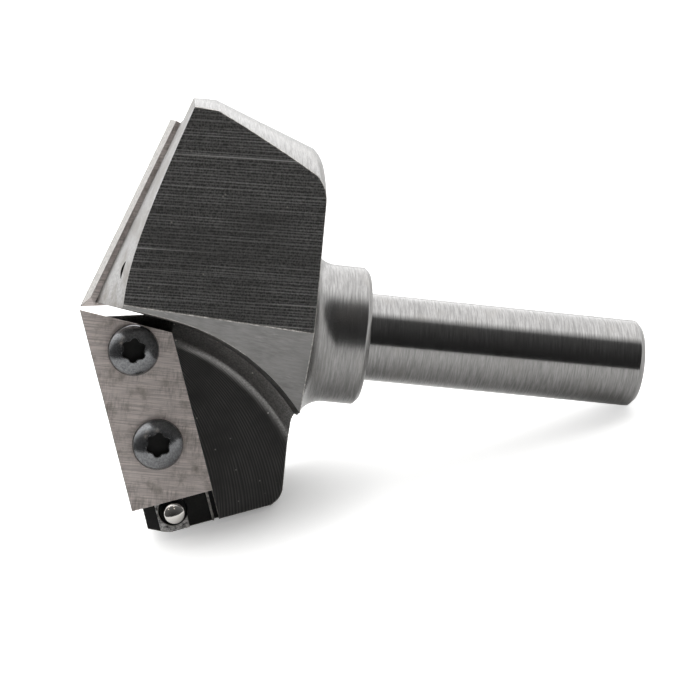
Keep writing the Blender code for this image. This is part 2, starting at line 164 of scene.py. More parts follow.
class KnifeSizes(bpy.types.PropertyGroup):
    """The insert knives. Places on them are measured from the tip, along the edge and behind it."""

    edge_angle: angle("Edge angle", 70.0, "Between the cutting edge and the axis")
    length: length("Length", 30.0, "Along the cutting edge")
    width: length("Width", 12.0, "Across the knife")
    thickness: length("Thickness", 1.5, "Of the knife")
    axis_clearance: length("Axis clearance", 0.24, "From the axis to the knife's tip")
    inner_slant: angle("Inner slant", 8.2, "Between the knife's inner end and the axis")
    flank_relief: angle("Flank relief", 28.4, "Behind the cutting edge")
    tip_relief_length: length("Tip relief length", 1.9, "Along the edge, on the underside")
    tip_relief_width: length("Tip relief width", 1.85, "Along the inner end")
    hole_diameter: length("Hole diameter", 4.5, "For a screw")
    screw_row: length("Screw row", 6.0, "Behind the cutting edge")
    screw_shift: length("Screw shift", -0.45, "From the knife's middle to the middle of its screws")
    screw_pitch: length("Screw pitch", 14.0, "From screw to screw")
    edge_break: length("Edge break", 0.05, "Width of the tiny chamfer round the knife")


class ScrewSizes(bpy.types.PropertyGroup):
    """Button-head screws with a six-lobe socket."""

    diameter: length("Diameter", 4.0, "Of the stem")
    reach: length("Reach", 8.5, "From the rake plane to the screw's point")
    head_diameter: length("Head diameter", 7.4, "Of the button head")
    head_height: length("Head height", 2.2, "Above the knife")
    rim: length("Rim", 0.45, "Straight side of the head under its dome")
    rim_rounding: length("Rim rounding", 0.4, "Between that side and the dome")
    socket_width: length("Socket width", 3.64, "Across opposite lobes")
    socket_waist: length("Socket waist", 2.9, "Across opposite hollows")
    socket_depth: length("Socket depth", 1.5, "From the top of the dome")
    point_chamfer: length("Point chamfer", 0.5, "On the screw's end")
    edge_break: length("Edge break", 0.11, "Rounding of the rim and the socket")
    steps: count("Steps", 96, "Steps round the screw")
    socket_steps: count("Socket steps", 72, "Steps round the socket")


class PinSizes(bpy.types.PropertyGroup):
    """The stop pin beyond each knife's outer end."""

    diameter: length("Diameter", 3.0, "Of the domed stem")
    foot_diameter: length("Foot diameter", 3.9, "Of the foot in the hole")
    foot_height: length("Foot height", 1.6, "Of that foot")
    gap: length("Gap", 0.37, "Between the knife's end and the pin")
    row: length("Row", 5.85, "Behind the cutting edge")
    equator_depth: length("Equator depth", 1.0, "From the rake plane to the dome's widest part")
    dome_radius: length("Dome radius", 2.3, "Of the domed end")
    rim_rounding: length("Rim rounding", 0.35, "From the dome to the stem")
    # Below this depth the pin is painted black: painted shade in place of the reflections that it would
    # show down in its hole.
    painted_shade_depth: length("Painted shade depth", 3.0, "Below the rake plane, where the pin turns black")
    steps: count("Steps", 72, "Steps round the pin")


class StudioSettings(bpy.types.PropertyGroup):
    """Camera, lamps and floor."""

    rest_roll: angle("Rest roll", 22.5, "How the bit is rolled about its axis as it lies")
    camera_place: FloatVectorProperty(
        name="Camera place",
        description="Where the camera stands, in the bit's own frame",
        default=(-3.24 * MM, 308.97 * MM, -0.40 * MM),
        precision=5,
        subtype="TRANSLATION",
    )
    camera_right: FloatVectorProperty(
        name="Camera right",
        description="Which way the picture's right edge points, in the bit's own frame",
        default=(0.09783, 0.12784, 0.98696),
        subtype="DIRECTION",
    )
    camera_up: FloatVectorProperty(
        name="Camera up",
        description="Which way the picture's top edge points, in the bit's own frame",
        default=(0.9952, -0.00914, -0.09746),
        subtype="DIRECTION",
    )
    focal_length: ratio("Focal length", 109.79, "In millimetres, for a sensor 36 mm wide")
    floor_radius: length("Floor radius", 2500.0, "Of the round floor")
    spot_lamp: ratio("Spot lamps", 0.02, "Power of each small lamp above the camera, in watts")
    spot_size: length("Spot size", 80.0, "Side of each of these lamps")
    spot_distance: length("Spot distance", 600.0, "From the bit")
    floor_glow: ratio("Floor glow", 0.6, "White that the camera sees on top of the lit floor")
    # The glow is lower round the head's foot, between the shadow's inner and outer radius: this paints a
    # patch of shadow there over the rendered one.
    painted_shadow_glow: ratio("Near glow", 0.22, "The same beside the head, where its shadow stays dark")
    shadow_x: length("Shadow X", -22.0, "Middle of that dark part of the shadow")
    shadow_y: length("Shadow Y", 2.0, "Middle of that dark part of the shadow")
    shadow_inner: length("Shadow inner radius", 5.0, "Where the floor's glow starts to grow")
    shadow_outer: length("Shadow outer radius", 22.0, "Where it is whole")
    mirrored_glow: ratio("Mirrored glow", 0.06, "White that metal sees on top of the lit floor")


class Colours(bpy.types.PropertyGroup):
    """Base colours as sRGB hex values."""

    ground_steel: colour("Ground steel", "999897", "Turned and ground tool steel")
    # Real wear on the edges and chips, and also the painted highlight on the shelf's ridge.
    worn_edge: colour("Worn edge", "D6D3CE", "Steel rubbed bright along its edges")
    milled_steel: colour("Milled steel", "979695", "Milled tool steel, dulled by oil")
    gullet_steel: colour("Gullet steel", "7B7A79", "The chip gullets, darker with use")
    carbide: colour("Carbide", "D6CCC8", "Ground sintered carbide")
    carbide_stain: colour("Carbide stain", "93897F", "Resin and heat stains on the carbide")
    black_oxide: colour("Black oxide", "8E8F91", "Oiled black oxide")
    polished_steel: colour("Polished steel", "D9D6D2", "Hardened pins and finely ground flanks")
    # Painted shade: a near-black that stands for the shade in holes and hollows, not a colour of the
    # steel.
    painted_shade_black: colour("Painted shade black", "100F0E", "Painted shade in holes and hollows")
    floor: colour("Floor", "F0F0EF", "Pale paper sweep")


class RouterBitSettings(bpy.types.PropertyGroup):
    """All sizes and colours of the bit and its studio."""

    turned: PointerProperty(type=TurnedSizes)
    milled: PointerProperty(type=MilledSizes)
    knife: PointerProperty(type=KnifeSizes)
    screw: PointerProperty(type=ScrewSizes)
    pin: PointerProperty(type=PinSizes)
    studio: PointerProperty(type=StudioSettings)
    colours: PointerProperty(type=Colours)


# Shapes: places and outlines in the bit's own frame.


def arc(centre, radius, start, end, steps):
    """Points of an arc in a plane, both ends included."""
    angles = [start + (end - start) * i / steps for i in range(steps + 1)]
    return [(centre[0] + radius * cos(t), centre[1] + radius * sin(t)) for t in angles]


def on_knife(knife, along_edge, behind_edge):
    """(x, z) of a place on the first knife, from its tip along the cutting edge and back from it."""
    lean = knife.edge_angle
    x = -along_edge * sin(lean) + behind_edge * cos(lean) - knife.axis_clearance
    z = along_edge * cos(lean) + behind_edge * sin(lean)
    return x, z


def at_depth(place, depth):
    """The point of an (x, z) place that lies a depth behind the rake plane."""
    return Vector((place[0], -depth, place[1]))


def inner_end(knife, behind_edge, setback=0.0):
    """How far along the edge the knife's slanted inner end lies, at a distance behind it."""
    slant = pi / 2 - knife.edge_angle + knife.inner_slant
    return behind_edge * tan(slant) + setback / cos(slant)


def cone_base_height(turned, knife):
    return turned.cone_setback + turned.head_diameter / 2 / tan(knife.edge_angle)


def body_outline(turned, knife):
    """The turned outline, from the end of the shank down to the point of the front cone."""
    shank = turned.shank_diameter / 2
    collar = turned.collar_diameter / 2
    widest = turned.head_diameter / 2
    cone_base = cone_base_height(turned, knife)
    taper = turned.rear_taper
    corner_height = turned.rear_height - turned.rear_fillet
    on_taper = widest - (corner_height - cone_base - turned.land) * tan(taper)
    corner = (on_taper - turned.rear_fillet / cos(taper), corner_height)
    neck = (collar + turned.neck_fillet, turned.rear_height + turned.neck_fillet)
    outline = [
        (0.0, turned.overall),
        (shank - turned.shank_chamfer, turned.overall),
        (shank, turned.overall - turned.shank_chamfer),
        (shank, turned.shoulder_height),
        (collar - turned.collar_chamfer, turned.shoulder_height),
        (collar, turned.shoulder_height - turned.collar_chamfer),
    ]
    outline += arc(neck, turned.neck_fillet, pi, 3 * pi / 2, turned.arc_steps)
    outline += arc(corner, turned.rear_fillet, pi / 2, taper, turned.arc_steps)
    outline += [(widest, cone_base + turned.land), (widest, cone_base), (0.0, turned.cone_setback)]
    return outline


def gullet_foot(milled, knife):
    """x of the slot's far side, level with the tip of the V."""
    return -knife.axis_clearance + milled.slot_width / cos(knife.inner_slant)


def gullet_centre(milled, knife):
    """(x, z) of the middle of the arc that the curved wall follows."""
    slant = knife.inner_slant
    x = gullet_foot(milled, knife) - milled.wall_start * tan(slant) - milled.wall_radius * cos(slant)
    return x, milled.wall_start - milled.wall_radius * sin(slant)


def gullet_outline(milled, knife, turned):
    """Seen from the front: a straight slot beside the knife's end, a long arc, and out."""
    slant = knife.inner_slant
    wall = arc(gullet_centre(milled, knife), milled.wall_radius, slant, pi / 2, milled.wall_steps)
    outer_x = -turned.head_diameter / 2 - 2 * milled.overrun
    first = (gullet_foot(milled, knife) + milled.overrun * tan(slant), -milled.overrun)
    return [first] + wall + [(outer_x, wall[-1][1]), (outer_x, first[1])]


def knife_outline(knife):
    corners = [
        (0.0, 0.0),
        (knife.length, 0.0),
        (knife.length, knife.width),
        (inner_end(knife, knife.width), knife.width),
    ]
    return [on_knife(knife, *corner) for corner in corners]


def seat_outline(milled, knife):
    """The raised seat runs forward out of the front cone, which trims it."""
    front = -milled.overrun
    corners = [
        (inner_end(knife, front, milled.seat_setback), front),
        (knife.length, front),
        (knife.length, knife.width),
        (inner_end(knife, knife.width, milled.seat_setback), knife.width),
    ]
    return [on_knife(knife, *corner) for corner in corners]


def strip_outline(milled, knife, near, far):
    """A strip across the shelf, parallel to the cutting edge."""
    start = knife.length - milled.overrun
    end = knife.length + 2 * milled.overrun
    return [on_knife(knife, *corner) for corner in ((start, near), (end, near), (end, far), (start, far))]


def screw_places(knife):
    middle = knife.length / 2 + knife.screw_shift
    return [on_knife(knife, middle + side * knife.screw_pitch / 2, knife.screw_row) for side in (-1, 1)]


def pin_place(knife, pin):
    return on_knife(knife, knife.length + pin.gap + pin.diameter / 2, pin.row)


def screw_outline(screw, seat_gap):
    """From the top of the dome, over the rim and down the stem to the chamfered point."""
    rim = screw.head_diameter / 2
    stem = screw.diameter / 2
    rise = screw.head_height - screw.rim
    dome = (rim**2 + rise**2) / (2 * rise)
    centre = (0.0, seat_gap + screw.head_height - dome)
    outline = arc(centre, dome, pi / 2, atan2(dome - rise, rim), 18)
    outline += [
        (rim, seat_gap),
        (stem, seat_gap),
        (stem, screw.point_chamfer - screw.reach),
        (stem - screw.point_chamfer, -screw.reach),
        (0.0, -screw.reach),
    ]
    return outline


def socket_outline(screw):
    """Six rounded lobes between the socket's width and its waist."""
    middle = (screw.socket_width + screw.socket_waist) / 4
    swing = (screw.socket_width - screw.socket_waist) / 4
    turns = [2 * pi * i / screw.socket_steps for i in range(screw.socket_steps)]
    radii = [middle + swing * cos(6 * turn) for turn in turns]
    return [(radius * cos(turn), radius * sin(turn)) for radius, turn in zip(radii, turns)]


def pin_outline(pin, milled):
    """A domed end with a rounded rim on a stem, above a wider foot that fills the hole."""
    stem = pin.diameter / 2
    foot = pin.foot_diameter / 2
    bottom = milled.seat_gap - milled.pin_hole_depth
    crown = stem - pin.equator_depth
    turn = pi / 2 - asin((stem - pin.rim_rounding) / (pin.dome_radius - pin.rim_rounding))
    outline = arc((0.0, crown - pin.dome_radius), pin.dome_radius, pi / 2, turn, 16)
    rim = [
        (pin.dome_radius - pin.rim_rounding) * cos(turn),
        crown - pin.dome_radius + (pin.dome_radius - pin.rim_rounding) * sin(turn),
    ]
    outline += arc(rim, pin.rim_rounding, turn, 0.0, 6)[1:]
    outline += [
        (stem, bottom + pin.foot_height),
        (foot, bottom + pin.foot_height),
        (foot, bottom),
        (0.0, bottom),
    ]
    return outline


# Workshop: drawing, turning, sawing and drilling with Blender's own tools.


def draw(name, points):
    """Starts a mesh as one point and draws it out along a path. It stays in edit mode, selected."""
    bpy.ops.object.select_all(action="DESELECT")
    bpy.ops.mesh.primitive_plane_add(size=MM, location=points[0], enter_editmode=True)
    bpy.ops.mesh.select_mode(type="VERT")
    bpy.ops.mesh.merge(type="CENTER")
    for here, there in zip(points, points[1:]):
        step = [b - a for a, b in zip(here, there)]
        bpy.ops.mesh.extrude_region_move(TRANSFORM_OT_translate={"value": step})
    bpy.ops.mesh.select_all(action="SELECT")
    piece = bpy.context.object
    piece.name = name
    return piece


def leave_edit_mode(piece):
    bpy.ops.object.mode_set(mode="OBJECT")
    bpy.ops.object.transform_apply(location=True, rotation=True, scale=True)
    return piece


def turn_on_lathe(name, outline, steps):
    """A solid of revolution about Z from (radius, height) points."""
    piece = draw(name, [(radius, 0.0, height) for radius, height in outline])
    bpy.ops.mesh.spin(steps=steps, angle=2 * pi, center=(0.0, 0.0, 0.0), axis=(0.0, 0.0, 1.0))
    bpy.ops.mesh.select_all(action="SELECT")
    bpy.ops.mesh.remove_doubles(threshold=MM / 1000)
    bpy.ops.mesh.normals_make_consistent(inside=False)
    return leave_edit_mode(piece)


def slab(name, outline, low, high):
    """A flat block between two heights Y, from an outline of (x, z) points."""
    piece = draw(name, [(x, low, z) for x, z in outline])
    bpy.ops.mesh.edge_face_add()
    bpy.ops.mesh.extrude_region_move(TRANSFORM_OT_translate={"value": (0.0, high - low, 0.0)})
    bpy.ops.mesh.select_all(action="SELECT")
    bpy.ops.mesh.normals_make_consistent(inside=False)
    return leave_edit_mode(piece)


def drill(name, place, diameter, low, high, sides=64):
    """A round bar along Y that a drill leaves as a hole."""
    bpy.ops.object.select_all(action="DESELECT")
    bpy.ops.mesh.primitive_cylinder_add(
        vertices=sides,
        radius=diameter / 2,
        depth=high - low,
        location=(place[0], (low + high) / 2, place[1]),
        rotation=(pi / 2, 0.0, 0.0),
    )
    piece = bpy.context.object
    piece.name = name
    bpy.ops.object.transform_apply(location=True, rotation=True, scale=True)
    return piece


def make_active(piece):
    bpy.ops.object.select_all(action="DESELECT")
    piece.select_set(True)
    bpy.context.view_layer.objects.active = piece


def combine(piece, tool, operation="DIFFERENCE"):
    """Cuts the tool out of the piece or adds it, and puts the tool away."""
    make_active(piece)
    bpy.ops.object.modifier_add(type="BOOLEAN")
    modifier = piece.modifiers[-1]
    modifier.object = tool
    modifier.operation = operation
    modifier.solver = "EXACT"
    modifier.material_mode = "TRANSFER"
    bpy.ops.object.modifier_apply(modifier=modifier.name)
    mesh = tool.data
    bpy.data.objects.remove(tool)
    bpy.data.meshes.remove(mesh)


def block_beyond(name, point, along, across, reach):
    """A block that fills the side of a plane that along x across points to, to saw that side off."""
    bpy.ops.object.select_all(action="DESELECT")
    bpy.ops.mesh.primitive_cube_add(size=2 * reach, enter_editmode=True)
    bpy.ops.transform.translate(value=(0.0, 0.0, reach))
    block = leave_edit_mode(bpy.context.object)
    block.name = name
    along = along.normalized()
    outward = along.cross(across).normalized()
    turn = Matrix((along, outward.cross(along), outward)).transposed().to_4x4()
    turn_piece(block, Matrix.Translation(point) @ turn)
    return block


def round_edges(piece, keep, width, segments, finish=-1):
    """Rounds the edges that keep(edge ends, the two faces) picks, in a finish of their own."""
    make_active(piece)
    mesh = piece.data
    beside = {}
    for face in mesh.polygons:
        for key in face.edge_keys:
            beside.setdefault(key, []).append(face)
    for item in (*mesh.vertices, *mesh.edges, *mesh.polygons):
        item.select = False
    for edge in mesh.edges:
        ends = [mesh.vertices[i].co for i in edge.vertices]
        edge.select = keep(ends, beside[edge.key])
    bpy.ops.object.mode_set(mode="EDIT")
    bpy.ops.mesh.select_mode(type="EDGE")
    bpy.ops.mesh.bevel(
        offset=width,
        segments=segments,
        profile=0.5,
        affect="EDGES",
        clamp_overlap=False,
        material=finish,
    )
    bpy.ops.object.mode_set(mode="OBJECT")


def is_outer_corner(ends, faces):
    """True of an edge that sticks out, as wear finds it, and not of one in a hollow."""
    if len(faces) != 2:
        return False
    first, second = faces
    sharp = first.normal.angle(second.normal, 0.0) > WORN_ANGLE
    return sharp and (second.center - first.center).dot(first.normal) < 0.0


def break_edges(piece, width, segments):
    """A tiny round on every sharp edge, as a file or a buff leaves it."""
    make_active(piece)
    bpy.ops.object.modifier_add(type="BEVEL")
    modifier = piece.modifiers[-1]
    modifier.width = width
    modifier.segments = segments
    modifier.limit_method = "ANGLE"
    modifier.angle_limit = WORN_ANGLE
    modifier.use_clamp_overlap = False
    modifier.harden_normals = False
    bpy.ops.object.modifier_apply(modifier=modifier.name)


def smooth(piece):
    """Shades a piece smooth up to an angle, with its large flat faces kept flat beside roundings."""
    make_active(piece)
    bpy.ops.object.shade_smooth_by_angle(angle=SMOOTH_ANGLE)
    bpy.ops.object.modifier_add(type="WEIGHTED_NORMAL")
    piece.modifiers[-1].keep_sharp = True
    bpy.ops.object.modifier_apply(modifier=piece.modifiers[-1].name)


def turn_piece(piece, matrix):
    make_active(piece)
    piece.matrix_world = matrix
    bpy.ops.object.transform_apply(location=True, rotation=True, scale=True)


def copy_of(piece, name):
    make_active(piece)
    bpy.ops.object.duplicate()
    twin = bpy.context.object
    twin.name = name
    return twin


def rest_matrix(settings):
    """From the bit's own frame to the place where it lies, read off the shank's end."""
    mounts = {mount["name"]: mount for mount in frame["record"]["mounts"]}
    end = mounts["shank_end"]
    along = Vector(end["axis"])
    tip = Vector(end["pos_m"]) - along * settings.turned.overall
    dip = asin(-along.z)
    roll = pi - settings.studio.rest_roll
    return Matrix.Translation(tip) @ Matrix.Rotation(pi / 2 + dip, 4, "Y") @ Matrix.Rotation(roll, 4, "Z")


def wing_matrix(settings, wing):
    return rest_matrix(settings) @ Matrix.Rotation(WING_TURNS[wing], 4, "Z")


def give_finish(piece, material):
    piece.data.materials.clear()
    piece.data.materials.append(material)
    for face in piece.data.polygons:
        face.material_index = 0


def hand_over(piece, node):
    """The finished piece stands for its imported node."""
    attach(piece, "root")
    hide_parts(node)


# Finishes. The sizes of patterns are in millimetres.


def linear(hex_colour):
    """sRGB hex to the linear colour that a shader takes."""
    channels = [int(hex_colour[i : i + 2], 16) / 255 for i in (0, 2, 4)]
    return [c / 12.92 if c <= 0.04045 else ((c + 0.055) / 1.055) ** 2.4 for c in channels] + [1.0]


def times(base, *factors):
    """A colour with its channels multiplied by one factor, or by one each."""
    if len(factors) == 1:
        factors = factors * 3
    return [factor * channel for factor, channel in zip(factors, base)] + [1.0]


def add_node(tree, kind, inputs=None, **settings):
    """Adds one node and returns its outputs. An input takes a value or another node's output."""
    node = tree.nodes.new(f"ShaderNode{kind}")
    for name, value in settings.items():
        setattr(node, name, value)
    for socket, value in (inputs or {}).items():
        if isinstance(value, bpy.types.NodeSocket):
            tree.links.new(value, node.inputs[socket])
        else:
            node.inputs[socket].default_value = value
    return node.outputs


def new_material(name):
    material = bpy.data.materials.new(name)
    material.use_nodes = True
    tree = material.node_tree
    tree.nodes.clear()
    return material, tree


def bit_coordinates(tree, settings, wing, turn=0.0):
    """Object coordinates brought into the bit's own frame, in millimetres, and turned about Y."""
    back = Matrix.Rotation(turn, 4, "Y") @ wing_matrix(settings, wing).inverted()
    inputs = {
        "Vector": add_node(tree, "TexCoord")["Object"],
        "Location": back.to_translation() / MM,
        "Rotation": back.to_euler("XYZ"),
        "Scale": (1 / MM, 1 / MM, 1 / MM),
    }
    return add_node(tree, "Mapping", inputs)["Vector"]


def stretched_noise(tree, place, pitch, detail=3.0, roughness=0.6):
    """Noise whose grains are as long as pitch says on each axis."""
    grains = [1 / step for step in pitch]
    scaled = add_node(tree, "VectorMath", {0: place, 1: grains}, operation="MULTIPLY")[0]
    inputs = {"Vector": scaled, "Scale": 1.0, "Detail": detail, "Roughness": roughness}
    return add_node(tree, "TexNoise", inputs)["Fac"]


def tinted(tree, under, tint, pattern, low, high, most=1.0, least=0.0):
    """A tint over a colour, from its least share where a pattern is low to its most where it is high."""
    inputs = {"Value": pattern, "From Min": low, "From Max": high, "To Min": least, "To Max": most}
    share = add_node(tree, "MapRange", inputs)["Result"]
    return add_node(tree, "Mix", {0: share, 6: under, 7: tint}, data_type="RGBA")[2]


def shades(tree, base, pattern, low, high, darker, lighter):
    """A colour that is darker where a pattern is low and lighter where it is high."""
    light = [min(1.0, channel) for channel in times(base, lighter)]
    return tinted(tree, times(base, darker), light, pattern, low, high)


def specks(tree, place, spacing, size, share):
    """1 on a share of small round specks, and 0 between them."""
    cells = add_node(tree, "TexVoronoi", {"Vector": place, "Scale": 1 / spacing, "Randomness": 1.0})
    edge = {"Value": cells["Distance"], "From Min": 0.6 * size / spacing, "From Max": size / spacing}
    dot = add_node(tree, "MapRange", {**edge, "To Min": 1.0, "To Max": 0.0})["Result"]
    choice = {"Value": cells["Color"], "From Min": 1.0 - share - 0.02, "From Max": 1.0 - share}
    chosen = add_node(tree, "MapRange", choice)["Result"]
    return add_node(tree, "Math", {0: dot, 1: chosen}, operation="MULTIPLY")[0]


def chipped(tree, settings, place, shade, spacing, size, share):
    """A colour with bright specks, as stray chips leave them."""
    chips = specks(tree, place, spacing, size, share)
    return tinted(tree, shade, linear(settings.colours.worn_edge), chips, 0.0, 1.0)


def tool_lines(tree, place, axis, pitch, drift_pitch):
    """Lines a pitch apart on one axis of a place, wandering with a noise: 0 to 1."""
    drift = stretched_noise(tree, place, drift_pitch, 2.0, 0.7)
    along = add_node(tree, "SeparateXYZ", {"Vector": place})[axis]
    turns = add_node(tree, "Math", {0: along, 1: 2 * pi / pitch}, operation="MULTIPLY")[0]
    phase = add_node(tree, "Math", {0: drift, 1: LINE_WANDER, 2: turns}, operation="MULTIPLY_ADD")[0]
    wave = add_node(tree, "Math", {0: phase}, operation="SINE")[0]
    return add_node(tree, "MapRange", {"Value": wave, "From Min": -0.4, "From Max": 1.0})["Result"]


def metal_shader(tree, colour_value, roughness, height=None, depth=0.0, metallic=1.0):
    """The material's end: a metal, with the depth that a height of 1 stands up by, if it has one."""
    inputs = {"Base Color": colour_value, "Roughness": roughness, "Metallic": metallic}
    if height is not None:
        inputs["Normal"] = add_node(
            tree, "Bump", {"Height": height, "Distance": depth * MM, "Strength": 1.0}
        )["Normal"]
    shader = add_node(tree, "BsdfPrincipled", inputs)["BSDF"]
    add_node(tree, "OutputMaterial", {"Surface": shader})


def ground_steel(settings):
    """Turned and ground tool steel: bright, with fine rings round the axis and faint staining."""
    material, tree = new_material("ground tool steel")
    place = bit_coordinates(tree, settings, 1)
    # A grinding wheel's marks are some 0.05 mm apart. They are drawn at 0.22 mm, to show.
    rings = stretched_noise(tree, place, (3.0, 3.0, 0.22), 3.0, 0.7)
    bands = stretched_noise(tree, place, (60.0, 60.0, 1.6), 2.0)
    stain = stretched_noise(tree, place, (5.0, 5.0, 4.0), 4.0)
    base = linear(settings.colours.ground_steel)
    shade = shades(tree, base, rings, 0.36, 0.64, 0.68, 1.1)
    shade = tinted(tree, shade, times(base, 0.88, 0.86, 0.83), stain, 0.55, 0.75, 0.6)
    # The shank is ground finer than the rest, from the collar's shoulder on.
    height = add_node(tree, "SeparateXYZ", {"Vector": place})["Z"]
    shoulder = settings.turned.shoulder_height / MM
    step = {"Value": height, "From Min": shoulder - 0.2, "From Max": shoulder}
    duller = add_node(tree, "MapRange", {**step, "To Min": 0.12, "To Max": 0.0})["Result"]
    spread = {"Value": bands, "From Min": 0.3, "From Max": 0.7, "To Min": 0.12, "To Max": 0.16}
    on_shank = add_node(tree, "MapRange", spread)["Result"]
    rough = add_node(tree, "Math", {0: on_shank, 1: duller}, operation="ADD")[0]
    metal_shader(tree, shade, rough, rings, 0.003)
    return material


def cone_steel(settings):
    """The front cone: turned like the rest, but dulled and stained by the wood it meets."""
    material, tree = new_material("turned steel cone")
    place = bit_coordinates(tree, settings, 1)
    rings = stretched_noise(tree, place, (0.4, 0.4, 6.0), 3.0, 0.65)
    stain = stretched_noise(tree, place, (3.5, 3.5, 3.0), 4.0, 0.65)
    base = linear(settings.colours.ground_steel)
    shade = shades(tree, base, rings, 0.36, 0.64, 0.62, 1.0)
    shade = tinted(tree, shade, times(base, 0.46, 0.42, 0.38), stain, 0.42, 0.62, 0.85)
    metal_shader(tree, shade, 0.3, rings, 0.002)
    return material


def worn_and_highlight_steel(settings):
    """An edge that hands and chips have rubbed bright, unevenly along its length; on the shelf's ridge
    the same bright steel is a painted highlight.
    """
    material, tree = new_material("worn edge and painted highlight")
    place = bit_coordinates(tree, settings, 1)
    patches = stretched_noise(tree, place, (0.7, 0.7, 0.7), 4.0, 0.7)
    shade = shades(tree, linear(settings.colours.worn_edge), patches, 0.4, 0.6, 0.35, 1.0)
    spread = {"Value": patches, "From Min": 0.3, "From Max": 0.7, "To Min": 0.5, "To Max": 0.35}
    metal_shader(tree, shade, add_node(tree, "MapRange", spread)["Result"], metallic=0.6)
    return material


def milled_flat_steel(settings, wing):
    """Milled tool steel: dark, with straight mill lines along the axis and a few stray chips."""
    material, tree = new_material(f"milled steel flat {wing}")
    place = bit_coordinates(tree, settings, wing, turn=radians(1.5))
    pitch = 0.42
    lines = tool_lines(tree, place, "X", pitch, (2.5 * pitch, 20.0, 40.0))
    depth = stretched_noise(tree, place, (0.4, 20.0, 14.0), 3.0, 0.75)
    rare = stretched_noise(tree, place, (0.5, 20.0, 60.0), 0.0)
    weave = stretched_noise(tree, place, (0.3, 0.5, 0.22), 1.0)
    cloud = stretched_noise(tree, place, (7.0, 9.0, 14.0), 3.0)
    spread = {"Value": depth, "From Min": 0.35, "From Max": 0.72, "To Min": 0.1, "To Max": 1.0}
    deep = add_node(tree, "MapRange", spread)["Result"]
    cut = add_node(tree, "Math", {0: lines, 1: deep}, operation="MULTIPLY")[0]
    base = linear(settings.colours.milled_steel)
    lined = shades(tree, base, cut, 0.0, 1.0, 0.4, 5.0)
    woven = shades(tree, base, weave, 0.4, 0.62, 0.55, 2.3)
    shade = add_node(tree, "Mix", {0: 0.35, 6: lined, 7: woven}, data_type="RGBA")[2]
    shade = tinted(tree, shade, times(base, 6.0), rare, 0.76, 0.84, 0.6)
    shade = tinted(tree, shade, times(base, 0.6), cloud, 0.45, 0.7, 0.4)
    shade = chipped(tree, settings, place, shade, 1.7, 0.17, 0.4)
    metal_shader(tree, shade, 0.36, lines, 0.004)
    return material


def milled_facet_steel(settings, wing):
    """The sloping facet: the same steel, scratched lightly along the axis."""
    material, tree = new_material(f"milled steel facet {wing}")
    place = bit_coordinates(tree, settings, wing)
    lines = stretched_noise(tree, place, (0.35, 0.35, 9.0), 4.0, 0.7)
    cloud = stretched_noise(tree, place, (3.0, 3.0, 5.0), 3.0)
    scratch = stretched_noise(tree, place, (0.3, 0.3, 1.6), 2.0, 0.6)
    rubbed = stretched_noise(tree, place, (4.0, 4.0, 5.0), 2.0)
    base = linear(settings.colours.milled_steel)
    lined = shades(tree, base, lines, 0.35, 0.7, 0.5, 0.86)
    clouded = shades(tree, base, cloud, 0.35, 0.65, 0.6, 0.9)
    shade = add_node(tree, "Mix", {0: 0.4, 6: lined, 7: clouded}, data_type="RGBA")[2]
    fine = {"Value": scratch, "From Min": 0.58, "From Max": 0.68}
    scratched = add_node(tree, "MapRange", fine)["Result"]
    where = {"Value": rubbed, "From Min": 0.5, "From Max": 0.65, "To Max": 0.7}
    shown = add_node(tree, "MapRange", where)["Result"]
    seen = add_node(tree, "Math", {0: scratched, 1: shown}, operation="MULTIPLY")[0]
    shade = tinted(tree, shade, linear(settings.colours.ground_steel), seen, 0.0, 1.0)
    shade = chipped(tree, settings, place, shade, 2.2, 0.14, 0.3)
    metal_shader(tree, shade, 0.34, lines, 0.003)
    return material


def feed_marks(tree, place, settings, pitch):
    """Arcs that the mill left as it fed along the axis, each with the gullet wall's radius."""
    centre_x = gullet_centre(settings.milled, settings.knife)[0] / MM
    radius = settings.milled.wall_radius / MM
    x, y, z = add_node(tree, "SeparateXYZ", {"Vector": place})
    across = add_node(tree, "Math", {0: x, 1: centre_x}, operation="SUBTRACT")[0]
    square = add_node(tree, "Math", {0: across, 1: across}, operation="MULTIPLY")[0]
    under = add_node(tree, "Math", {0: radius**2, 1: square}, operation="SUBTRACT")[0]
    safe = add_node(tree, "Math", {0: under, 1: 0.0}, operation="MAXIMUM")[0]
    reach = add_node(tree, "Math", {0: safe}, operation="SQRT")[0]
    feed = add_node(tree, "Math", {0: z, 1: reach}, operation="SUBTRACT")[0]
    along = add_node(tree, "CombineXYZ", {"X": x, "Y": y, "Z": feed})["Vector"]
    return tool_lines(tree, along, "Z", pitch, (20.0, 20.0, 2.0))


